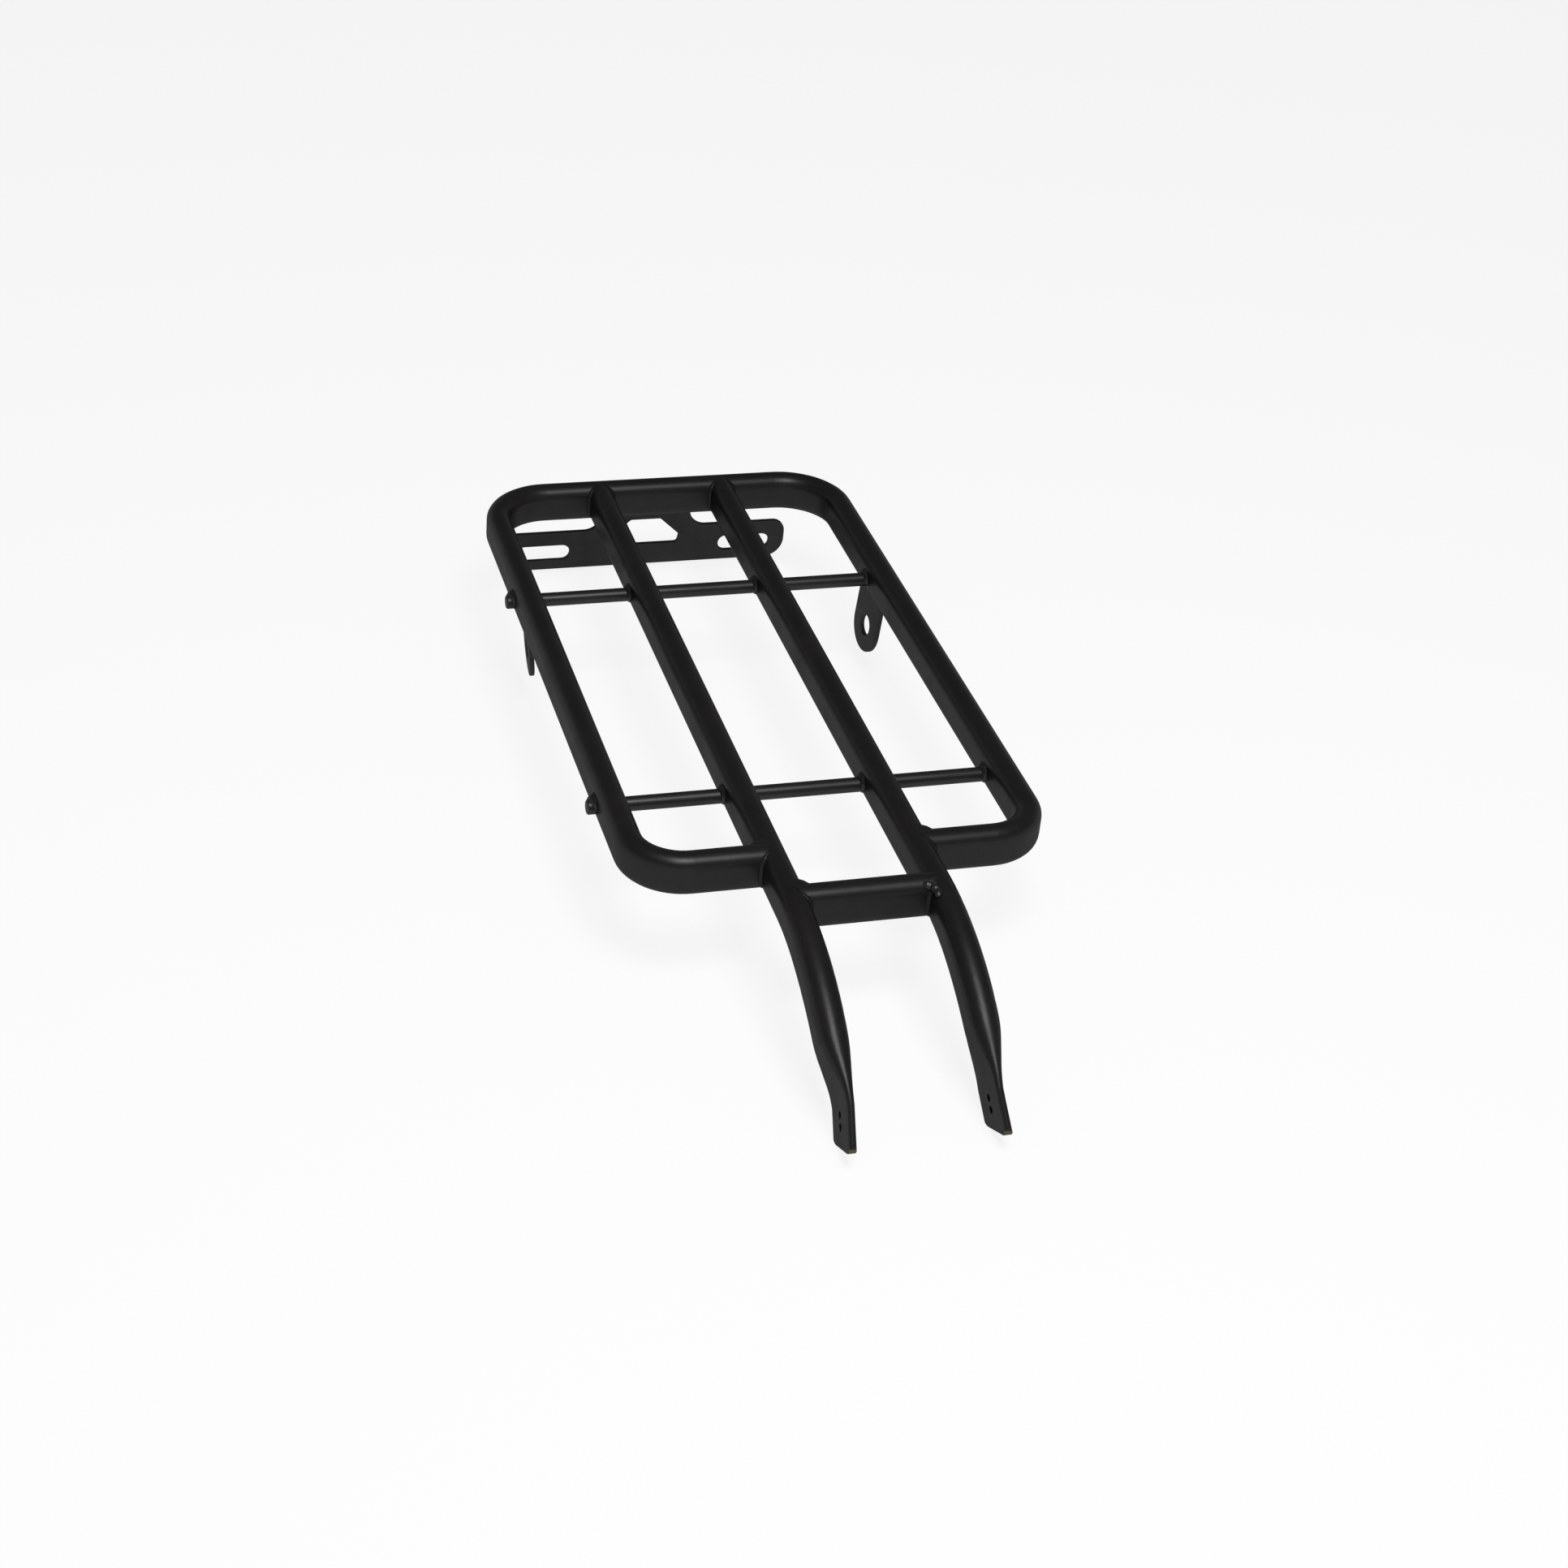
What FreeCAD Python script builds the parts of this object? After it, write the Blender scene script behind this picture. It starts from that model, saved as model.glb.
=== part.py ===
"""Rear luggage carrier of welded flat-oval steel tube. Millimetres, +Z up, +Y to the rear."""
import FreeCAD
import Part
import math
import os

V = FreeCAD.Vector
ALONG_X = V(1, 0, 0)
ALONG_Y = V(0, 1, 0)
ALONG_Z = V(0, 0, 1)

# Flat-oval tube, rolled from round stock
tube_width = 13.5
tube_height = 22.0
tube_wall = 1.5

# Platform, between tube centre lines; the loop's front run lies at y = 0
platform_width = 200.0
platform_length = 378.5
front_corner_radius = 25.0
rear_corner_radius = 32.0
rail_spacing = 71.6
crossbar_lead = 35.0

# Round rods across the platform
rod_diameter = 7.5
rod_clearance = 0.15
rod_drop = 3.0
rod_overhang = 4.0
rod_edge = 0.6
front_rod_y = 66.0
rear_rod_y = 271.0

# Arms that curve down ahead of the platform and end in pressed tabs
arm_lead = 32.5
arm_bend_radius = 130.0
arm_bend_angle = 48.0
arm_swell = 1.4
arm_sections = 20
press_length = 32.0
press_offset = 1.0
tab_thickness = 3.6
tab_length = 22.4
tab_splay = 1.8
tab_slant = 7.5
tab_heel_radius = 7.0
tab_toe_radius = 4.0
tab_hole_diameter = 3.8
tab_hole_pitch = 5.4
tab_hole_edge = 18.8

# Lugs for the stays, under the side tubes at the rear rod
lug_thickness = 2.6
lug_radius = 15.4
lug_hole_diameter = 11.8
lug_hole_drop = 32.6
lug_lean = 5.0
lug_toe = 5.0

# Sheet bracket behind the rear bar
plate_thickness = 2.5
sheet_edge = 0.5
plate_setback = 27.5
plate_bend_radius = 3.0
foot_drop = 6.5
plate_length = 173.0
plate_top_drop = 34.3
plate_bottom_drop = 58.6
plate_end_radius = 7.5
plate_heel_radius = 12.0
neck_width = 54.0
neck_fillet = 10.0
slot_margin = 9.5
slot_length = 31.5
slot_height = 9.2
slot_drop = 47.7
window_top_width = 18.0
window_shoulder_width = 41.6
window_foot_width = 39.6
window_top_drop = 29.0
window_shoulder_drop = 40.0
window_bottom_drop = 45.0
window_radius = 2.0

# Welds
weld_gap = 0.15
weld_leg = 2.2
weld_relief = 0.4
weld_tip = 0.3
rod_weld_leg = 3.6
rod_weld_reach = 2.2
rod_weld_lift = 1.8
lug_weld_rise = 4.0

side_x = platform_width / 2
rail_x = rail_spacing / 2
tube_perimeter = math.pi * tube_width + 2 * (tube_height - tube_width)
rod_radius = rod_diameter / 2


def oval(centre, across, up, width, height):
    """Closed flat-oval wire: flat sides, and round ends of half the width above and below."""
    side = across * (width / 2)
    straight = up * ((height - width) / 2)
    crown = up * (height / 2)
    edges = [
        Part.LineSegment(centre + side - straight, centre + side + straight),
        Part.Arc(centre + side + straight, centre + crown, centre - side + straight),
        Part.LineSegment(centre - side + straight, centre - side - straight),
        Part.Arc(centre - side - straight, centre - crown, centre + side - straight),
    ]
    return Part.Wire([edge.toShape() for edge in edges])


def oval_run(start, end, across, width, height):
    """Straight flat-oval bar between two points, upright."""
    return Part.Face(oval(start, across, ALONG_Z, width, height)).extrude(end - start)


def rounded_edges(points, radii, closed):
    """Edges through the points, each corner rounded by its radius with a tangent arc."""
    count = len(points)
    corners = []
    for i, corner in enumerate(points):
        radius = radii[i]
        if radius == 0:
            corners.append((corner, None, corner))
            continue
        before = (points[i - 1] - corner).normalize()
        after = (points[(i + 1) % count] - corner).normalize()
        half = before.getAngle(after) / 2
        reach = radius / math.tan(half)
        bisector = (before + after).normalize()
        middle = corner + bisector * (radius / math.sin(half) - radius)
        corners.append((corner + before * reach, middle, corner + after * reach))
    edges = []
    for i in range(count if closed else count - 1):
        leave = corners[i][2]
        enter, middle, resume = corners[(i + 1) % count]
        edges.append(Part.LineSegment(leave, enter).toShape())
        if middle is not None:
            edges.append(Part.Arc(enter, middle, resume).toShape())
    return edges


def rounded_face(points, radii):
    """Flat face with rounded corners."""
    return Part.Face(Part.Wire(rounded_edges(points, radii, True)))


def mirrored(shape):
    """The same piece on the other side of the middle plane."""
    return shape.mirror(V(0, 0, 0), ALONG_X)


def loop_solid(width, height):
    """The loop's path swept with one flat-oval section."""
    corners = [
        V(-rail_x, 0, 0),
        V(-side_x, 0, 0),
        V(-side_x, platform_length, 0),
        V(side_x, platform_length, 0),
        V(side_x, 0, 0),
        V(rail_x, 0, 0),
    ]
    radii = [0, front_corner_radius, rear_corner_radius, rear_corner_radius, front_corner_radius, 0]
    path = Part.Wire(rounded_edges(corners, radii, False))
    return path.makePipeShell([oval(corners[0], ALONG_Y, ALONG_Z, width, height)], True, False)


def arm_frame(angle):
    """Centre, outward normal and forward tangent of the right arm's bend at an angle from level."""
    normal = V(0, -math.sin(angle), math.cos(angle))
    tangent = V(0, -math.cos(angle), -math.sin(angle))
    hub = V(rail_x, -arm_lead, -arm_bend_radius)
    return hub + normal * arm_bend_radius, normal, tangent


def arm_section(angle, inset):
    """Section of the right arm, swollen by the bend and then pressed flat; its outline keeps its length."""
    bend_end = math.radians(arm_bend_angle)
    press_angle = press_length / arm_bend_radius
    place = max(0, 1 - (bend_end - angle) / press_angle)
    press = place * place * (3 - 2 * place)
    swell = arm_swell * math.sin(math.pi * angle / bend_end) ** 2
    width = tube_width + swell - (tube_width - tab_thickness) * press
    height = width + (tube_perimeter - math.pi * width) / 2
    centre, normal = arm_frame(angle)[:2]
    moved = centre - ALONG_X * (press_offset * press)
    return oval(moved, ALONG_X, normal, width - 2 * inset, height - 2 * inset)


def arm_solid(inset):
    """Right rail from the rear bar to the end of its pressed length, its outline drawn in by inset."""
    rear = V(rail_x, platform_length, 0)
    front = V(rail_x, -arm_lead, 0)
    straight = oval_run(rear, front, ALONG_X, tube_width - 2 * inset, tube_height - 2 * inset)
    step = math.radians(arm_bend_angle) / arm_sections
    bend = Part.makeLoft([arm_section(k * step, inset) for k in range(arm_sections + 1)], True, False)
    return straight.fuse(bend).removeSplitter()


def tab_solid():
    """Flat end of the right arm, with its two holes."""
    bend_end = math.radians(arm_bend_angle)
    centre, normal, tangent = arm_frame(bend_end)
    blank = Part.Face(arm_section(bend_end, 0)).extrude(tangent * tab_length + ALONG_X * tab_splay)
    middle = centre - ALONG_X * press_offset
    half = (tab_thickness + (tube_perimeter - math.pi * tab_thickness) / 2) / 2
    back = middle - ALONG_X * (tab_thickness / 2)
    corners = [
        back + normal * half,
        back + normal * half + tangent * tab_length,
        back - normal * half + tangent * (tab_length - tab_slant),
        back - normal * half,
    ]
    outline = rounded_face(corners, [0, tab_toe_radius, tab_heel_radius, 0])
    depth = tab_thickness + tab_splay
    tab = blank.common(outline.extrude(ALONG_X * depth))
    for step in range(2):
        along = tab_length - tab_hole_edge + step * tab_hole_pitch
        tab = tab.cut(Part.makeCylinder(tab_hole_diameter / 2, depth, back + tangent * along, ALONG_X))
    return tab


def rod_solid(y, radius, half_length):
    """Round bar across the platform at the rods' level."""
    return Part.makeCylinder(radius, 2 * half_length, V(-half_length, y, -rod_drop), ALONG_X)


def cross_rod(y):
    """Rod with its two ends broken by a small chamfer."""
    rod = rod_solid(y, rod_radius, side_x + tube_width / 2 + rod_overhang)
    ends = [edge for edge in rod.Edges if edge.Closed]
    return rod.makeChamfer(rod_edge, ends)


def hung(shape):
    """A piece under the right side tube turned as the lug hangs: its foot leans in and its rear toes in."""
    pivot = V(side_x, rear_rod_y, 0)
    shape.rotate(pivot, ALONG_Y, lug_lean)
    shape.rotate(pivot, ALONG_Z, lug_toe)
    return shape


def stay_lug():
    """Right lug: a round-ended tab that reaches up into the side tube."""
    start = V(side_x - lug_thickness / 2, rear_rod_y, -lug_hole_drop)
    front = start - ALONG_Y * lug_radius
    rear = start + ALONG_Y * lug_radius
    rise = ALONG_Z * lug_hole_drop
    edges = [
        Part.Arc(front, start - ALONG_Z * lug_radius, rear),
        Part.LineSegment(rear, rear + rise),
        Part.LineSegment(rear + rise, front + rise),
        Part.LineSegment(front + rise, front),
    ]
    face = Part.Face(Part.Wire([edge.toShape() for edge in edges]))
    tab = face.extrude(ALONG_X * lug_thickness)
    tab = tab.cut(Part.makeCylinder(lug_hole_diameter / 2, lug_thickness, start, ALONG_X))
    return hung(softened(tab, ALONG_X, 0))


def softened(sheet, across, top):
    """Flat sheet with the edges of both its faces rounded below a level, as stamping and coating leave them."""
    edges = []
    for edge in sheet.Edges:
        runs_flat = abs(edge.tangentAt(edge.FirstParameter).dot(across)) < 0.5
        if runs_flat and edge.BoundBox.ZMin < top - sheet_edge:
            edges.append(edge)
    return sheet.makeFillet(sheet_edge, edges)


def side_bar(grow):
    """Right side tube's straight length, grown all round."""
    return oval_run(
        V(side_x, front_corner_radius, 0), V(side_x, platform_length - rear_corner_radius, 0),
        ALONG_X, tube_width + 2 * grow, tube_height + 2 * grow)


def rear_bar(grow):
    """Rear tube's straight length, grown all round."""
    reach = side_x - rear_corner_radius
    return oval_run(
        V(-reach, platform_length, 0), V(reach, platform_length, 0),
        ALONG_Y, tube_width + 2 * grow, tube_height + 2 * grow)


def crossbar_run(grow):
    """Crossbar between the rails' centre lines, grown all round."""
    return oval_run(
        V(-rail_x, -crossbar_lead, 0), V(rail_x, -crossbar_lead, 0),
        ALONG_Y, tube_width + 2 * grow, tube_height + 2 * grow)


def sheet_plate():
    """Stamped bracket: a foot that meets the rear bar, a bent neck, and two slotted arms."""
    foot_top = -foot_drop
    foot_bottom = foot_top - plate_thickness
    face_y = platform_length + plate_setback - plate_thickness / 2
    back_y = face_y + plate_thickness
    bend_bottom = foot_bottom - plate_bend_radius - plate_thickness
    outer_radius = plate_bend_radius + plate_thickness
    profile = [
        V(0, platform_length, foot_top),
        V(0, back_y, foot_top),
        V(0, back_y, bend_bottom),
        V(0, face_y, bend_bottom),
        V(0, face_y, foot_bottom),
        V(0, platform_length, foot_bottom),
    ]
    neck = rounded_face(profile, [0, outer_radius, 0, 0, plate_bend_radius, 0])
    neck.translate(ALONG_X * (-neck_width / 2))
    neck = neck.extrude(ALONG_X * neck_width)

    half = plate_length / 2
    neck_half = neck_width / 2
    right = [
        (half, -plate_bottom_drop, plate_heel_radius),
        (half, -plate_top_drop, plate_end_radius),
        (neck_half, -plate_top_drop, neck_fillet),
        (neck_half, bend_bottom, 0),
    ]
    outline = right + [(-x, z, radius) for x, z, radius in reversed(right)]
    window_right = [
        (window_foot_width / 2, -window_bottom_drop, window_radius),
        (window_shoulder_width / 2, -window_shoulder_drop, window_radius),
        (window_top_width / 2, -window_top_drop, window_radius),
    ]
    window = window_right + [(-x, z, radius) for x, z, radius in reversed(window_right)]
    panels = []
    for shape in (outline, window):
        face = rounded_face([V(x, face_y, z) for x, z, radius in shape], [radius for x, z, radius in shape])
        panels.append(face.extrude(ALONG_Y * plate_thickness))
    panel = panels[0].cut(panels[1])
    for side in (-1, 1):
        centre = V(side * (half - slot_margin - slot_length / 2), face_y, -slot_drop)
        slot = Part.Face(oval(centre, ALONG_Z, ALONG_X, slot_height, slot_length))
        panel = panel.cut(slot.extrude(ALONG_Y * plate_thickness))
    return softened(panel, ALONG_Y, bend_bottom).fuse(neck).removeSplitter()


def tube_weld(seat, run, across, pieces):
    """Weld metal in the corners where a tube meets the side of another whose centre is at seat."""
    height = tube_height - 2 * weld_relief
    face = seat + run * (tube_width / 2)
    tip = face + run * weld_leg
    wires = [
        oval(seat, across, ALONG_Z, tube_width + 2 * weld_leg, height),
        oval(face, across, ALONG_Z, tube_width + 2 * weld_leg, height),
        oval(tip, across, ALONG_Z, tube_width, height),
    ]
    return Part.makeLoft(wires, True, True).cut(pieces)


def rod_weld(tube_x, run, y, pieces):
    """Weld metal where a rod enters the side of a tube, most of it behind and above the rod."""
    axis = V(tube_x, y, -rod_drop)
    seat = axis + (ALONG_Y + ALONG_Z) * rod_weld_lift
    face = run * (tube_width / 2)
    root_radius = rod_radius + rod_weld_reach
    rings = [
        Part.makeCircle(root_radius, seat, run),
        Part.makeCircle(root_radius, seat + face, run),
        Part.makeCircle(rod_radius + weld_tip, axis + face + run * rod_weld_leg, run),
    ]
    return Part.makeLoft([Part.Wire(ring) for ring in rings], True, True).cut(pieces)


def lug_weld(lug, tube):
    """Weld metal along both faces of the right lug, under the side tube."""
    centre = V(side_x, rear_rod_y - lug_radius, -tube_height / 2)
    foot = lug_thickness / 2
    section = [
        V(-foot - weld_leg, 0, lug_weld_rise),
        V(-foot - weld_leg, 0, weld_leg / 2),
        V(-foot, 0, -weld_leg),
        V(foot, 0, -weld_leg),
        V(foot + weld_leg, 0, weld_leg / 2),
        V(foot + weld_leg, 0, lug_weld_rise),
    ]
    face = rounded_face([centre + point for point in section], [0] * len(section))
    bead = hung(face.extrude(ALONG_Y * (2 * lug_radius)))
    return bead.cut([lug, tube])


def plate_weld(plate, bar):
    """Weld metal above and below the bracket's foot, behind the rear bar."""
    height = plate_thickness + 2 * weld_leg
    corner = V(-neck_width / 2, platform_length, -foot_drop - plate_thickness - weld_leg)
    root = Part.makeBox(neck_width, tube_width / 2, height, corner)
    return root.cut([plate, bar])


def build():
    """All pieces in the platform's own frame."""
    right_envelope = arm_solid(0)
    rod_holes = [
        rod_solid(y, rod_radius + rod_clearance, platform_width) for y in (front_rod_y, rear_rod_y)]
    front_length = oval_run(
        V(rail_x, -arm_lead, 0), V(rail_x, front_rod_y, 0), ALONG_X,
        tube_width + 2 * weld_gap, tube_height + 2 * weld_gap)
    grown_arm = arm_solid(-weld_gap)

    loop = loop_solid(tube_width, tube_height)
    bore = loop_solid(tube_width - 2 * tube_wall, tube_height - 2 * tube_wall)
    loop_ends = [front_length, mirrored(front_length)]
    parts = {"outer_loop": loop.cut([bore] + loop_ends + rod_holes)}

    right_rail = right_envelope.cut([arm_solid(tube_wall), rear_bar(weld_gap)])
    right_rail = right_rail.fuse(tab_solid()).removeSplitter().cut(rod_holes)
    parts["right_rail"] = right_rail
    parts["left_rail"] = mirrored(right_rail)

    parts["front_crossbar"] = crossbar_run(0).cut([crossbar_run(-tube_wall), grown_arm, mirrored(grown_arm)])

    parts["front_rod"] = cross_rod(front_rod_y)
    parts["rear_rod"] = cross_rod(rear_rod_y)

    lug = stay_lug().cut(side_bar(weld_gap))
    parts["right_stay_lug"] = lug
    parts["left_stay_lug"] = mirrored(lug)
    plate = sheet_plate().cut(rear_bar(weld_gap))
    parts["rear_plate"] = plate

    inward = ALONG_X * -1
    loop_bead = tube_weld(V(rail_x, 0, 0), ALONG_X, ALONG_Y, [right_envelope, loop])
    bar_bead = tube_weld(V(rail_x, -crossbar_lead, 0), inward, ALONG_Y, [right_envelope, crossbar_run(0)])
    rail_bead = tube_weld(V(rail_x, platform_length, 0), ALONG_Y * -1, ALONG_X, [right_envelope, rear_bar(0)])
    lug_bead = lug_weld(lug, side_bar(0))
    for name, bead in (("loop", loop_bead), ("crossbar", bar_bead), ("rear", rail_bead), ("lug", lug_bead)):
        parts["right_" + name + "_weld"] = bead
        parts["left_" + name + "_weld"] = mirrored(bead)
    parts["plate_weld"] = plate_weld(plate, rear_bar(0))
    tubes = [right_envelope, mirrored(right_envelope), side_bar(0), mirrored(side_bar(0))]
    for name, y in (("front", front_rod_y), ("rear", rear_rod_y)):
        pieces = tubes + [rod_solid(y, rod_radius, platform_width)]
        beads = [rod_weld(x, inward, y, pieces) for x in (-side_x, -rail_x, rail_x, side_x)]
        parts[name + "_rod_welds"] = Part.makeCompound(beads)
    return parts


def main():
    """Origin under the middle of the carrier, on the ground that it rests on."""
    parts = build()
    box = Part.makeCompound(list(parts.values())).optimalBoundingBox(False, False)
    datum = V(0, (box.YMin + box.YMax) / 2, box.ZMin)
    os.makedirs("parts", exist_ok=True)
    for name, shape in parts.items():
        shape.translate(datum * -1)
        shape.exportStep("parts/" + name + ".step")


main()
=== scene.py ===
"""Looks of a rear luggage carrier of welded flat-oval tube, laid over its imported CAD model."""

import math

import bmesh
import bpy
from bpy.props import FloatProperty, FloatVectorProperty, IntProperty, PointerProperty
from mathutils import Matrix, Vector


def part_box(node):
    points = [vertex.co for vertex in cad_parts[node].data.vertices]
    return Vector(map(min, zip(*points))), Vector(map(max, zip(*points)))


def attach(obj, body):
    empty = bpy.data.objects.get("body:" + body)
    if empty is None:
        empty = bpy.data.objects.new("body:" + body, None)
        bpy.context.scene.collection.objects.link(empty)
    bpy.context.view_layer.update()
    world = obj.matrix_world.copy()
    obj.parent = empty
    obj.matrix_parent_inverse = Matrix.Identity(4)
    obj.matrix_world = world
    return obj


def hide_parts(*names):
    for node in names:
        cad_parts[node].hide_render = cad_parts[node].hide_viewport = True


bl_info = {
    "name": "Rear luggage carrier",
    "version": (1, 0, 0),
    "blender": (4, 5, 0),
    "location": "View3D > Sidebar > Carrier",
    "description": "Coats the carrier's tubes, rods and sheet, lays its weld beads and sets up a photo stage",
    "category": "Object",
}

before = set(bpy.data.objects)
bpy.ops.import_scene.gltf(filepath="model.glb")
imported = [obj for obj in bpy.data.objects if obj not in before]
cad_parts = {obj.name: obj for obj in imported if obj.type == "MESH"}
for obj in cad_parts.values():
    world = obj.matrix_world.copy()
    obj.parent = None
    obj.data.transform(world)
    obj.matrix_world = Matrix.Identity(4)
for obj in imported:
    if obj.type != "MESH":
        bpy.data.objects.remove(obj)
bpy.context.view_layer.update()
ALONG_X, ALONG_Y, ALONG_Z = Vector((1, 0, 0)), Vector((0, 1, 0)), Vector((0, 0, 1))
SIDES = ((-1, "left"), (1, "right"))

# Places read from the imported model
BAR_LOW, BAR_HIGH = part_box("front_crossbar")
LOOP_LOW, LOOP_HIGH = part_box("outer_loop")
RAIL_LOW, RAIL_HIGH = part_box("right_rail")
ROD_LOW, ROD_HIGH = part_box("rear_rod")
FRONT_ROD_LOW, FRONT_ROD_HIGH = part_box("front_rod")
FOOT_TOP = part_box("rear_plate")[1].z
TUBE_WIDTH = BAR_HIGH.y - BAR_LOW.y
TUBE_HEIGHT = BAR_HIGH.z - BAR_LOW.z
TUBE_LEVEL = (BAR_LOW.z + BAR_HIGH.z) / 2
BAR_Y = (BAR_LOW.y + BAR_HIGH.y) / 2
RAIL_X = (RAIL_LOW.x + RAIL_HIGH.x) / 2
SIDE_X = LOOP_HIGH.x - TUBE_WIDTH / 2
LOOP_FRONT_Y = LOOP_LOW.y + TUBE_WIDTH / 2
LOOP_REAR_Y = LOOP_HIGH.y - TUBE_WIDTH / 2
ROD_RADIUS = (ROD_HIGH.z - ROD_LOW.z) / 2
ROD_LEVEL = (ROD_LOW.z + ROD_HIGH.z) / 2
ROD_YS = {
    "front": (FRONT_ROD_LOW.y + FRONT_ROD_HIGH.y) / 2,
    "rear": (ROD_LOW.y + ROD_HIGH.y) / 2,
}

# Section of a tube: the radius of its round crowns, and half the flat between them
CROWN = TUBE_WIDTH / 2
HALF_FLAT = (TUBE_HEIGHT - TUBE_WIDTH) / 2

# Sheet of the lugs and of the bracket's foot, as in the part's source
LUG_TOE = math.radians(5.0)
LUG_LEAN = math.radians(5.0)
LUG_TURN = Matrix.Rotation(LUG_TOE, 3, "Z") @ Matrix.Rotation(LUG_LEAN, 3, "Y")
LUG_THICKNESS = 0.0026
FOOT_THICKNESS = 0.0025

# Half lengths of the beads along a lug and along the foot
LUG_REACH = 0.0142
FOOT_HALF = 0.027

# Square to the arms' slanted cut ends, and how far those ends reach that way
ARM_BEND = math.radians(48.0)
TIP_SLANT = math.radians(15.2)
TIP_AHEAD = Matrix.Rotation(ARM_BEND - TIP_SLANT, 3, "X") @ -ALONG_Y
TIP_REACH = max(vertex.co.dot(TIP_AHEAD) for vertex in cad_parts["right_rail"].data.vertices)

# Patterns in the coat: their detail, where haze starts and is full, and what each does to the film
HAZE_DETAIL, GRAIN_DETAIL, WAVE_DETAIL, CHIP_DETAIL = 4.0, 2.0, 1.0, 2.0
HAZE_FROM, HAZE_FULL = 0.42, 0.72
HAZE_WEAR, GRAIN_MOTTLE, WAVE_MOTTLE = 0.25, 0.4, 0.2

# Height of the waves in grains, and how far the chips' edge fades behind and ahead of an arm's end
WAVE_HEIGHT = 2.0
CHIP_BACK, CHIP_AHEAD = 0.0004, 0.0001

# Steps in which the length of a bead's path is measured
MEASURE_STEPS = 24

# Beads between tubes: how far they climb round a crown, how deep they sink there and how thin they end
CROWN_CLIMB = math.radians(86)
CROWN_SINK = 0.0006
CROWN_SIZE = 0.12

# Beads round a rod: where they start, how far they run and where they are thickest
ROD_START = math.radians(-110)
ROD_SWEEP = math.radians(310)
ROD_THICKEST = math.radians(45)

# Arc of blobs at the crossbar's right end: its centre, radius, start, sweep, fall and outward side
BLOB_HUB = Vector((RAIL_X - 0.0114, BAR_Y - 0.0105, TUBE_LEVEL + 0.0090))
BLOB_RADIUS = 0.00665
BLOB_START = math.radians(79.5)
BLOB_SWEEP = math.radians(-114.6)
BLOB_FALL = 0.0004
BLOB_OUTWARD = Vector((-0.4, -0.4, 0.8))

# Stage: corners of the floor's rim, its plain white, and the sensor in millimetres that the lens is given for
FLOOR_CORNERS = 96
WHITE = (1.0, 1.0, 1.0)
SENSOR_WIDTH = 36.0


class CoatSettings(bpy.types.PropertyGroup):
    """Satin black coat on the steel."""

    colour: FloatVectorProperty(
        name="Coat colour", description="Pigment of the black coat",
        subtype="COLOR", size=3, min=0, max=1, default=(0.0080, 0.0071, 0.0074))
    dust_colour: FloatVectorProperty(
        name="Haze colour", description="Grey haze that handling leaves on the coat",
        subtype="COLOR", size=3, min=0, max=1, default=(0.0125, 0.0110, 0.0112))
    steel_colour: FloatVectorProperty(
        name="Steel colour", description="Dull bare steel at the arms' cut ends",
        subtype="COLOR", size=3, min=0, max=1, default=(0.12, 0.105, 0.075))
    ground_roughness: FloatProperty(
        name="Ground roughness", description="Roughness of the matt black ground under the film",
        subtype="FACTOR", min=0, max=1, default=0.9)
    film: FloatProperty(
        name="Film", description="Strength of the glossy film over the matt black ground",
        subtype="FACTOR", min=0, max=1, default=0.19)
    film_index: FloatProperty(
        name="Film index",
        description="Refractive index of the film; a high one keeps its gloss even at all angles",
        min=1, max=4, default=2.0)
    roughness: FloatProperty(
        name="Roughness", description="Roughness of the film, from mirror to chalk",
        subtype="FACTOR", min=0, max=1, default=0.38)
    grain_size: FloatProperty(
        name="Grain size", description="Width of the coat's fine orange peel",
        unit="LENGTH", default=0.0011)
    grain_depth: FloatProperty(
        name="Grain depth", description="Height of the coat's fine orange peel",
        unit="LENGTH", default=0.00005)
    wave_size: FloatProperty(
        name="Wave size", description="Width of the broader waves under the orange peel",
        unit="LENGTH", default=0.009)
    haze_size: FloatProperty(
        name="Haze size", description="Width of the patches of haze", unit="LENGTH", default=0.045)
    chip_size: FloatProperty(
        name="Chip size", description="Width of the chips along the arms' cut ends",
        unit="LENGTH", default=0.002)
    chip_depth: FloatProperty(
        name="Chip depth", description="How far the chips reach back from the arms' cut ends",
        unit="LENGTH", default=0.0016)


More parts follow.
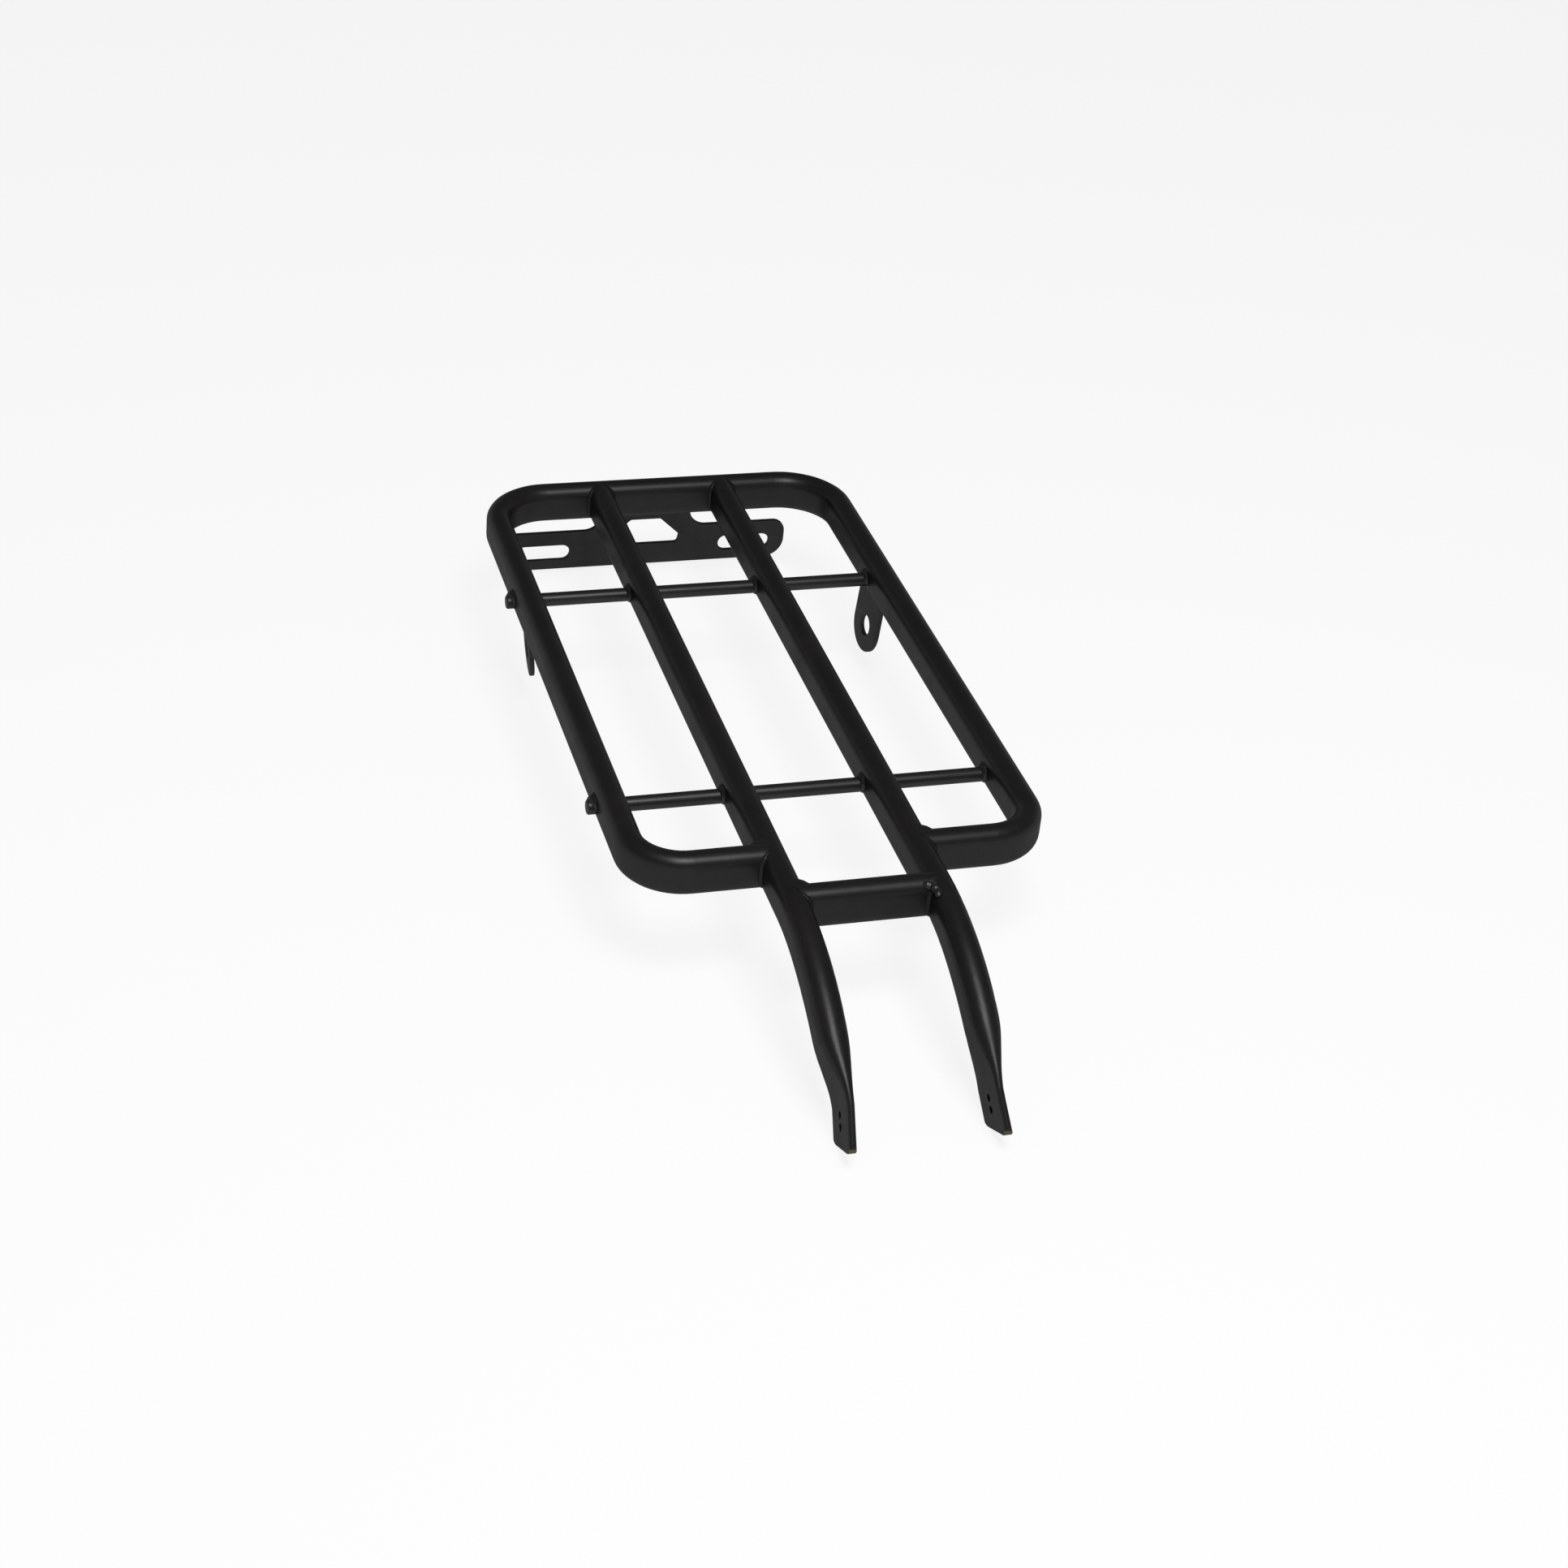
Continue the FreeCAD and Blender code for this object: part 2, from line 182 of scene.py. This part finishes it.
class WeldSettings(bpy.types.PropertyGroup):
    """Weld beads at the joints."""

    tube_bead: FloatVectorProperty(
        name="Tube bead", description="Half width and height of a bead between two tubes",
        unit="LENGTH", size=2, default=(0.0021, 0.0013))
    bay_bead: FloatVectorProperty(
        name="Bay bead", description="Half width and height of the fuller beads behind the loop's ends",
        unit="LENGTH", size=2, default=(0.0075, 0.0031))
    rod_bead: FloatVectorProperty(
        name="Rod bead", description="Half width and height of a bead at its thickest, behind a rod",
        unit="LENGTH", size=2, default=(0.0036, 0.0022))
    rod_lean: FloatProperty(
        name="Rod lean", description="How quickly a rod's bead thins away from its thickest place",
        subtype="FACTOR", min=0, max=1, default=0.28)
    end_bead: FloatVectorProperty(
        name="End bead", description="Half width and height of the smooth fill behind a rod's left end",
        unit="LENGTH", size=2, default=(0.0046, 0.0030))
    end_lean: FloatProperty(
        name="End lean", description="How quickly the fill at a rod's left end thins away",
        subtype="FACTOR", min=0, max=1, default=0.46)
    end_depth: FloatProperty(
        name="End depth", description="Share of the height lost between the ripples of that fill",
        subtype="FACTOR", min=0, max=1, default=0.03)
    blob_bead: FloatVectorProperty(
        name="Blob bead",
        description="Half width and height of the blobs where the crossbar's right bead was begun",
        unit="LENGTH", size=2, default=(0.0021, 0.0018))
    blob_pitch: FloatProperty(
        name="Blob pitch", description="Distance from one blob to the next", unit="LENGTH", default=0.0044)
    blob_depth: FloatProperty(
        name="Blob depth", description="Share of the height lost between blobs",
        subtype="FACTOR", min=0, max=1, default=0.55)
    sheet_bead: FloatVectorProperty(
        name="Sheet bead", description="Half width and height of a bead along a lug or the rear plate",
        unit="LENGTH", size=2, default=(0.0024, 0.0015))
    ripple_pitch: FloatProperty(
        name="Ripple pitch", description="Distance from one ripple to the next",
        unit="LENGTH", default=0.0026)
    ripple_depth: FloatProperty(
        name="Ripple depth", description="Share of the height lost between ripples",
        subtype="FACTOR", min=0, max=1, default=0.12)
    ripple_steps: IntProperty(name="Ripple steps", description="Rings that form one ripple", default=6)
    sides: IntProperty(name="Sides", description="Corners round a bead's section", default=12)


class StageSettings(bpy.types.PropertyGroup):
    """Floor, light and camera."""

    floor_colour: FloatVectorProperty(
        name="Floor colour", description="Plain pale floor",
        subtype="COLOR", size=3, min=0, max=1, default=(0.9, 0.9, 0.9))
    floor_glow: FloatProperty(
        name="Floor glow", description="Share of plain white in the floor as the camera and the gloss see it",
        subtype="FACTOR", min=0, max=1, default=0.86)
    floor_radius: FloatProperty(
        name="Floor radius", description="Distance from the middle of the floor to its rim",
        unit="LENGTH", default=20.0)
    rim_height: FloatProperty(
        name="Rim height", description="Height of the rim round the floor", unit="LENGTH", default=4.0)
    surround_colour: FloatVectorProperty(
        name="Surround colour", description="Grey of the studio round the floor",
        subtype="COLOR", size=3, min=0, max=1, default=(0.75, 0.76, 0.78))
    surround_strength: FloatProperty(
        name="Surround strength", description="Light that the studio itself gives", default=0.22)
    lamp_place: FloatVectorProperty(
        name="Lamp place", description="Where the soft box hangs",
        subtype="TRANSLATION", size=3, default=(-0.05, -0.80, 1.6))
    lamp_target: FloatVectorProperty(
        name="Lamp target", description="Point at which the soft box is aimed",
        subtype="TRANSLATION", size=3, default=(0.0, -0.15, 0.06))
    lamp_size: FloatVectorProperty(
        name="Lamp size", description="Width and length of the soft box",
        unit="LENGTH", size=2, default=(0.70, 0.75))
    lamp_power: FloatProperty(
        name="Lamp power", description="Light of the soft box", unit="POWER", default=25.0)
    camera_place: FloatVectorProperty(
        name="Camera place", description="Where the photograph was taken from",
        subtype="TRANSLATION", size=3, default=(-0.3888, BAR_Y - 1.0308, TUBE_LEVEL + 0.7575))
    heading: FloatProperty(
        name="Heading", description="Turn of the view to the right of straight ahead",
        subtype="ANGLE", default=math.radians(18.44))
    dip: FloatProperty(
        name="Dip", description="How far the view looks down",
        subtype="ANGLE", default=math.radians(32.38))
    roll: FloatProperty(
        name="Roll", description="Turn of the camera about its view",
        subtype="ANGLE", default=math.radians(-5.35))
    lens: FloatProperty(
        name="Lens", description="Focal length on a 36 mm sensor", unit="CAMERA", default=65.84)


class Wire:
    """A shader socket that takes part in Python sums: each operator adds its Math node."""

    def __init__(self, nodes, socket):
        self.nodes = nodes
        self.socket = socket

    def maths(self, operation, first, second):
        """Math node on two values."""
        return self.nodes.add("ShaderNodeMath", {"operation": operation}, {0: first, 1: second})

    def __add__(self, other):
        return self.maths("ADD", self, other)

    def __radd__(self, other):
        return self.maths("ADD", other, self)

    def __sub__(self, other):
        return self.maths("SUBTRACT", self, other)

    def __rsub__(self, other):
        return self.maths("SUBTRACT", other, self)

    def __mul__(self, other):
        return self.maths("MULTIPLY", self, other)

    def __rmul__(self, other):
        return self.maths("MULTIPLY", other, self)


class Nodes:
    """Node tree of one material."""

    def __init__(self, name):
        self.material = bpy.data.materials.new(name)
        self.material.use_nodes = True
        self.tree = self.material.node_tree
        self.tree.nodes.clear()

    def add(self, kind, settings=None, inputs=None, output=0):
        """A node of that type, its settings and its sockets' values or links; gives one of its outputs."""
        node = self.tree.nodes.new(kind)
        for key, value in (settings or {}).items():
            setattr(node, key, value)
        for key, value in (inputs or {}).items():
            if isinstance(value, Wire):
                self.tree.links.new(value.socket, node.inputs[key])
            else:
                node.inputs[key].default_value = value
        return Wire(self, node.outputs[output]) if node.outputs else None

    def place(self):
        """Object coordinates in metres."""
        return self.add("ShaderNodeTexCoord", output="Object")

    def noise(self, where, size, detail):
        """Soft random pattern whose patches are about that wide."""
        return self.add(
            "ShaderNodeTexNoise", None, {"Vector": where, "Scale": 1 / size, "Detail": detail}, "Fac")

    def ramp(self, value, low, high):
        """0 below low, 1 above high, smooth between them."""
        return self.add(
            "ShaderNodeMapRange", {"interpolation_type": "SMOOTHSTEP"},
            {"Value": value, "From Min": low, "From Max": high})

    def mix(self, share, first, second):
        """Blend of two colours."""
        return self.add(
            "ShaderNodeMix", {"data_type": "RGBA"}, {"Factor": share, "A": first, "B": second}, "Result")

    def finish(self, inputs):
        """Principled surface on the material's output."""
        return self.show(self.add("ShaderNodeBsdfPrincipled", None, inputs))

    def show(self, surface):
        """Puts a surface on the material's output and gives the material."""
        self.add("ShaderNodeOutputMaterial", None, {"Surface": surface})
        return self.material


def rgba(colour):
    """Colour with full alpha."""
    return (*colour, 1.0)


def satin_coat(name, film_share=1.0, dulling=0.0, bare_tips=False):
    """Matt black ground with fine orange peel under a thin glossy film, mottled and worn in broad patches.

    Bare steel shows at the arms' chipped ends where bare_tips is set.
    """
    coat = bpy.context.scene.carrier_coat
    film = coat.film * film_share
    nodes = Nodes(name)
    where = nodes.place()
    haze = nodes.ramp(nodes.noise(where, coat.haze_size, HAZE_DETAIL), HAZE_FROM, HAZE_FULL)
    grain = nodes.noise(where, coat.grain_size, GRAIN_DETAIL)
    waves = nodes.noise(where, coat.wave_size, WAVE_DETAIL)
    normal = nodes.add(
        "ShaderNodeBump", None,
        {"Strength": 1.0, "Distance": coat.grain_depth, "Height": grain + waves * WAVE_HEIGHT}, "Normal")
    even = 1 - (GRAIN_MOTTLE + WAVE_MOTTLE) / 2
    mottle = even + grain * GRAIN_MOTTLE + waves * WAVE_MOTTLE
    inputs = {
        "Base Color": nodes.mix(haze, rgba(coat.colour), rgba(coat.dust_colour)),
        "Roughness": coat.ground_roughness,
        "Specular IOR Level": 0.0,
        "Normal": normal,
        "Coat Weight": film * mottle - haze * (film * HAZE_WEAR),
        "Coat Roughness": coat.roughness + dulling,
        "Coat IOR": coat.film_index,
    }
    if bare_tips:
        reach = nodes.add(
            "ShaderNodeVectorMath", {"operation": "DOT_PRODUCT"}, {0: where, 1: TIP_AHEAD}, "Value")
        ragged = reach + nodes.noise(where, coat.chip_size, CHIP_DETAIL) * coat.chip_depth
        bare = nodes.ramp(ragged, TIP_REACH - CHIP_BACK, TIP_REACH + CHIP_AHEAD)
        inputs["Base Color"] = nodes.mix(bare, inputs["Base Color"], rgba(coat.steel_colour))
        inputs["Coat Weight"] = inputs["Coat Weight"] * (1 - bare)
    return nodes.finish(inputs)


def paint(node_names, material):
    """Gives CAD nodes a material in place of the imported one."""
    for name in node_names:
        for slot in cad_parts[name].material_slots:
            slot.material = material


class CARRIER_OT_coat_tubes(bpy.types.Operator):
    """Coat the flat-oval tubes: the loop, the rails and the crossbar"""

    bl_idname = "carrier.coat_tubes"
    bl_label = "Coat tubes"

    def execute(self, context):
        paint(("outer_loop", "front_crossbar"), satin_coat("tube_satin"))
        paint(("left_rail", "right_rail"), satin_coat("rail_satin", bare_tips=True))
        return {"FINISHED"}


class CARRIER_OT_coat_rods(bpy.types.Operator):
    """Coat the round cross rods"""

    bl_idname = "carrier.coat_rods"
    bl_label = "Coat rods"

    def execute(self, context):
        paint(("front_rod", "rear_rod"), satin_coat("rod_satin", film_share=1.5))
        return {"FINISHED"}


class CARRIER_OT_coat_sheet(bpy.types.Operator):
    """Coat the stamped sheet: the stay lugs and the rear plate"""

    bl_idname = "carrier.coat_sheet"
    bl_label = "Coat sheet"

    def execute(self, context):
        material = satin_coat("sheet_satin", film_share=1.3, dulling=0.08)
        paint(("left_stay_lug", "right_stay_lug", "rear_plate"), material)
        return {"FINISHED"}


def edges_at(verts):
    """Edges at these vertices, each once."""
    return list(dict.fromkeys(edge for vert in verts for edge in vert.link_edges))


def extrude_bead(mesh, path, bead, pitch, depth):
    """Adds one bead: a flattened ring pushed along the path, full on each ripple and lean between them."""
    weld = bpy.context.scene.carrier_weld
    rough = [path(step / MEASURE_STEPS)[0] for step in range(MEASURE_STEPS + 1)]
    length = sum((b - a).length for a, b in zip(rough, rough[1:]))
    count = weld.ripple_steps * max(2, round(length / pitch))
    spots = [path(step / count) for step in range(count + 1)]
    ring = bmesh.ops.create_circle(mesh, segments=weld.sides, radius=1.0)["verts"]
    edges = edges_at(ring)
    before = Matrix.Identity(4)
    for step, (point, outward, size) in enumerate(spots):
        ahead = (spots[min(step + 1, count)][0] - spots[max(step - 1, 0)][0]).normalized()
        side = ahead.cross(outward).normalized()
        ripple = 1 - depth * (1 - abs(math.sin(math.pi * step / weld.ripple_steps)))
        # Round ends over one ripple; half a step more keeps the first and last rings from being points
        end = min(1.0, (min(step, count - step) + 0.5) / weld.ripple_steps)
        half_width, height = (measure * size * math.sqrt(end * (2 - end)) for measure in bead)
        axes = Matrix((side.cross(ahead) * (height * ripple), side * half_width, ahead * height))
        stand = Matrix.Translation(point) @ axes.transposed().to_4x4()
        if step == 0:
            bmesh.ops.contextual_create(mesh, geom=ring)
        else:
            grown = bmesh.ops.extrude_edge_only(mesh, edges=edges)["geom"]
            ring = [item for item in grown if isinstance(item, bmesh.types.BMVert)]
            edges = [item for item in grown if isinstance(item, bmesh.types.BMEdge)]
        bmesh.ops.transform(mesh, matrix=stand @ before.inverted(), verts=ring)
        before = stand
    bmesh.ops.contextual_create(mesh, geom=ring)


def order_by_place(items, spot):
    """Lists a mesh's vertices or faces by place, because extruding lists them differently on each run."""
    for rank, item in enumerate(sorted(items, key=lambda item: tuple(spot(item)))):
        item.index = rank
    items.sort()


def lay_beads(node, name, finishes):
    """One piece that holds all the beads of a joint, listed by finish, and stands for its CAD weld."""
    mesh = bmesh.new()
    data = bpy.data.meshes.new(name)
    for number, (material, beads) in enumerate(finishes):
        data.materials.append(material)
        laid = len(mesh.faces)
        for bead in beads:
            extrude_bead(mesh, *bead)
        mesh.faces.ensure_lookup_table()
        for face in mesh.faces[laid:]:
            face.material_index = number
            face.smooth = True
    bmesh.ops.recalc_face_normals(mesh, faces=mesh.faces)
    order_by_place(mesh.verts, lambda vert: vert.co)
    order_by_place(mesh.faces, lambda face: face.calc_center_median())
    mesh.to_mesh(data)
    mesh.free()
    piece = bpy.data.objects.new(name, data)
    bpy.context.scene.collection.objects.link(piece)
    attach(piece, "root")
    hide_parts(node)


def tube_corner(seat, run, across):
    """Corner where a tube that leaves seat along run meets the side of another, from top to bottom."""
    reach = HALF_FLAT + CROWN * CROWN_CLIMB

    def path(share):
        travel = (1 - 2 * share) * reach
        angle = max(0.0, abs(travel) - HALF_FLAT) / CROWN
        up = ALONG_Z * math.copysign(1, travel)
        level = (run + across) * math.cos(angle)
        rise = min(abs(travel), HALF_FLAT) + CROWN * math.sin(angle)
        outward = level + up * (2 * math.sin(angle))
        sunk = up * (CROWN_SINK * math.sin(angle))
        size = CROWN_SIZE + (1 - CROWN_SIZE) * math.cos(angle)
        return seat + level * CROWN + up * rise - sunk, outward, size

    return path


def rod_corner(tube_x, y, lean):
    """Corner round a rod where it enters a tube's left face, thickest behind and above the rod."""
    face = Vector((tube_x - CROWN, y, ROD_LEVEL))

    def path(share):
        angle = ROD_START + ROD_SWEEP * share
        spoke = ALONG_Y * math.cos(angle) + ALONG_Z * math.sin(angle)
        over = max(0.0, abs(ROD_LEVEL + spoke.z * ROD_RADIUS - TUBE_LEVEL) - HALF_FLAT)
        inward = ALONG_X * (CROWN - math.sqrt(CROWN ** 2 - over ** 2))
        size = 1 - lean + lean * math.cos(angle - ROD_THICKEST)
        return face + spoke * ROD_RADIUS + inward, spoke - ALONG_X, size

    return path


def lug_corner(side, face):
    """Corner along one face of a lug, under the side tube's round underside."""
    flip = Matrix.Diagonal((side, 1, 1))
    pivot = Vector((SIDE_X, ROD_YS["rear"], TUBE_LEVEL))

    def path(share):
        local = Vector((face * LUG_THICKNESS / 2, LUG_REACH * (2 * share - 1), -TUBE_HEIGHT / 2))
        spot = pivot + LUG_TURN @ local
        spot.z = TUBE_LEVEL - HALF_FLAT - math.sqrt(CROWN ** 2 - (spot.x - SIDE_X) ** 2)
        return flip @ spot, flip @ (LUG_TURN @ ALONG_X * face - ALONG_Z), 1.0

    return path


def foot_corner(level, up):
    """Corner along the bracket's foot at that level, behind the rear bar."""
    back = math.sqrt(CROWN ** 2 - (TUBE_LEVEL - HALF_FLAT - level) ** 2)

    def path(share):
        spot = Vector((FOOT_HALF * (2 * share - 1), LOOP_REAR_Y + back, level))
        return spot, ALONG_Y + ALONG_Z * up, 1.0

    return path


def blob_arc(share):
    """Arc over the crossbar's and the right rail's crowns, where the bead at the bar's end was begun."""
    angle = BLOB_START + BLOB_SWEEP * share
    spoke = ALONG_X * math.cos(angle) + ALONG_Y * math.sin(angle)
    return BLOB_HUB + spoke * BLOB_RADIUS - ALONG_Z * (BLOB_FALL * share), BLOB_OUTWARD, 1.0


class CARRIER_OT_tube_welds(bpy.types.Operator):
    """Lay the beads where tubes meet: loop ends, crossbar ends and rail ends"""

    bl_idname = "carrier.tube_welds"
    bl_label = "Tube welds"

    def execute(self, context):
        weld = context.scene.carrier_weld
        ripples = (weld.ripple_pitch, weld.ripple_depth)
        material = satin_coat("tube_weld_satin", film_share=0.8, dulling=0.06)
        blob_material = satin_coat("blob_satin", film_share=2.0)
        blobs = (blob_arc, weld.blob_bead, weld.blob_pitch, weld.blob_depth)
        for side, word in SIDES:
            bar_bead = weld.bay_bead if side < 0 else weld.tube_bead
            joints = {
                "loop": (LOOP_FRONT_Y, ALONG_X * side, ALONG_Y, weld.bay_bead),
                "crossbar": (BAR_Y, ALONG_X * -side, ALONG_Y, bar_bead),
                "rear": (LOOP_REAR_Y, -ALONG_Y, ALONG_X, weld.tube_bead),
            }
            for joint, (y, run, across, far_bead) in joints.items():
                seat = Vector((side * RAIL_X, y, TUBE_LEVEL))
                beads = [
                    (tube_corner(seat, run, -across), weld.tube_bead, *ripples),
                    (tube_corner(seat, run, across), far_bead, *ripples),
                ]
                finishes = [(material, beads)]
                if (joint, word) == ("crossbar", "right"):
                    finishes.append((blob_material, [blobs]))
                lay_beads(f"{word}_{joint}_weld", f"{word}_{joint}_bead", finishes)
        return {"FINISHED"}


class CARRIER_OT_rod_welds(bpy.types.Operator):
    """Lay the beads where the rods enter the tubes"""

    bl_idname = "carrier.rod_welds"
    bl_label = "Rod welds"

    def execute(self, context):
        weld = context.scene.carrier_weld
        form = (weld.rod_bead, weld.ripple_pitch, weld.ripple_depth)
        end_form = (weld.end_bead, weld.ripple_pitch, weld.end_depth)
        material = satin_coat("rod_weld_satin", film_share=1.3)
        for word, y in ROD_YS.items():
            beads = [(rod_corner(x, y, weld.rod_lean), *form) for x in (-RAIL_X, RAIL_X, SIDE_X)]
            beads.append((rod_corner(-SIDE_X, y, weld.end_lean), *end_form))
            lay_beads(f"{word}_rod_welds", f"{word}_rod_beads", [(material, beads)])
        return {"FINISHED"}


class CARRIER_OT_sheet_welds(bpy.types.Operator):
    """Lay the beads that hold the lugs and the rear plate"""

    bl_idname = "carrier.sheet_welds"
    bl_label = "Sheet welds"

    def execute(self, context):
        weld = context.scene.carrier_weld
        form = (weld.sheet_bead, weld.ripple_pitch, weld.ripple_depth)
        material = satin_coat("sheet_weld_satin", film_share=0.8, dulling=0.06)
        for side, word in SIDES:
            beads = [(lug_corner(side, face), *form) for face in (-1, 1)]
            lay_beads(f"{word}_lug_weld", f"{word}_lug_bead", [(material, beads)])
        levels = ((FOOT_TOP, 1), (FOOT_TOP - FOOT_THICKNESS, -1))
        beads = [(foot_corner(level, up), *form) for level, up in levels]
        lay_beads("plate_weld", "plate_bead", [(material, beads)])
        return {"FINISHED"}


def lay_floor(stage):
    """Wide paper floor with a rim far out: matt to the lamp, plain pale to the camera and the gloss."""
    pan = bmesh.new()
    rim = bmesh.ops.create_circle(
        pan, cap_ends=True, segments=FLOOR_CORNERS, radius=stage.floor_radius)["verts"]
    grown = bmesh.ops.extrude_edge_only(pan, edges=edges_at(rim))["geom"]
    top = [item for item in grown if isinstance(item, bmesh.types.BMVert)]
    bmesh.ops.translate(pan, verts=top, vec=ALONG_Z * stage.rim_height)
    mesh = bpy.data.meshes.new("floor")
    pan.to_mesh(mesh)
    pan.free()
    floor = bpy.data.objects.new("floor", mesh)
    bpy.context.scene.collection.objects.link(floor)
    nodes = Nodes("floor_paper")
    matt = nodes.add("ShaderNodeBsdfDiffuse", None, {"Color": rgba(stage.floor_colour)})
    glow = nodes.add("ShaderNodeEmission", None, {"Color": rgba(WHITE), "Strength": 1.0})
    camera, gloss, glass = (
        nodes.add("ShaderNodeLightPath", output=f"Is {kind} Ray")
        for kind in ("Camera", "Glossy", "Transmission"))
    seen = camera + gloss + glass
    paper = nodes.add("ShaderNodeMixShader", None, {0: seen * stage.floor_glow, 1: matt, 2: glow})
    floor.data.materials.append(nodes.show(paper))


def light_world(stage):
    """Even grey surround that fills the shadows."""
    world = bpy.data.worlds.new("studio")
    bpy.context.scene.world = world
    world.use_nodes = True
    surround = world.node_tree.nodes["Background"]
    surround.inputs["Color"].default_value = rgba(stage.surround_colour)
    surround.inputs["Strength"].default_value = stage.surround_strength


def hang_lamp(stage):
    """Soft box aimed at its target."""
    lamp = bpy.data.lights.new("key_lamp", "AREA")
    lamp.shape = "RECTANGLE"
    lamp.size, lamp.size_y = stage.lamp_size
    lamp.energy = stage.lamp_power
    holder = bpy.data.objects.new("key_lamp", lamp)
    place = Vector(stage.lamp_place)
    holder.location = place
    holder.rotation_euler = (Vector(stage.lamp_target) - place).to_track_quat("-Z", "Y").to_euler()
    bpy.context.scene.collection.objects.link(holder)


def set_camera(stage):
    """Camera at the photograph's place, aim and roll."""
    ahead = Vector((
        math.sin(stage.heading) * math.cos(stage.dip),
        math.cos(stage.heading) * math.cos(stage.dip),
        -math.sin(stage.dip)))
    level = Vector((math.cos(stage.heading), -math.sin(stage.heading), 0.0))
    down = ahead.cross(level)
    right = level * math.cos(stage.roll) + down * math.sin(stage.roll)
    up = right.cross(ahead)
    lens = bpy.data.cameras.new("photo_camera")
    lens.lens = stage.lens
    lens.sensor_width = SENSOR_WIDTH
    camera = bpy.data.objects.new("photo_camera", lens)
    turn = Matrix((right, up, -ahead)).transposed().to_4x4()
    camera.matrix_world = Matrix.Translation(Vector(stage.camera_place)) @ turn
    bpy.context.scene.collection.objects.link(camera)
    bpy.context.scene.camera = camera


class CARRIER_OT_stage(bpy.types.Operator):
    """Pale floor, soft studio light and the photograph's camera"""

    bl_idname = "carrier.stage"
    bl_label = "Stage"

    def execute(self, context):
        stage = context.scene.carrier_stage
        lay_floor(stage)
        light_world(stage)
        hang_lamp(stage)
        set_camera(stage)
        context.scene.view_settings.view_transform = "Standard"
        return {"FINISHED"}


class CARRIER_PT_panel(bpy.types.Panel):
    """Steps that dress the carrier"""

    bl_idname = "CARRIER_PT_panel"
    bl_label = "Luggage carrier"
    bl_space_type = "VIEW_3D"
    bl_region_type = "UI"
    bl_category = "Carrier"

    def draw(self, context):
        for operator in OPERATORS:
            self.layout.operator(operator.bl_idname)


SETTINGS = {"carrier_coat": CoatSettings, "carrier_weld": WeldSettings, "carrier_stage": StageSettings}
OPERATORS = (
    CARRIER_OT_coat_tubes,
    CARRIER_OT_coat_rods,
    CARRIER_OT_coat_sheet,
    CARRIER_OT_tube_welds,
    CARRIER_OT_rod_welds,
    CARRIER_OT_sheet_welds,
    CARRIER_OT_stage,
)


def register():
    for name, group in SETTINGS.items():
        bpy.utils.register_class(group)
        setattr(bpy.types.Scene, name, PointerProperty(type=group))
    for operator in OPERATORS:
        bpy.utils.register_class(operator)
    bpy.utils.register_class(CARRIER_PT_panel)


def unregister():
    bpy.utils.unregister_class(CARRIER_PT_panel)
    for operator in reversed(OPERATORS):
        bpy.utils.unregister_class(operator)
    for name, group in SETTINGS.items():
        delattr(bpy.types.Scene, name)
        bpy.utils.unregister_class(group)


def main():
    register()
    bpy.ops.carrier.coat_tubes()
    bpy.ops.carrier.coat_rods()
    bpy.ops.carrier.coat_sheet()
    bpy.ops.carrier.tube_welds()
    bpy.ops.carrier.rod_welds()
    bpy.ops.carrier.sheet_welds()
    bpy.ops.carrier.stage()


if __name__ == "__main__":
    main()
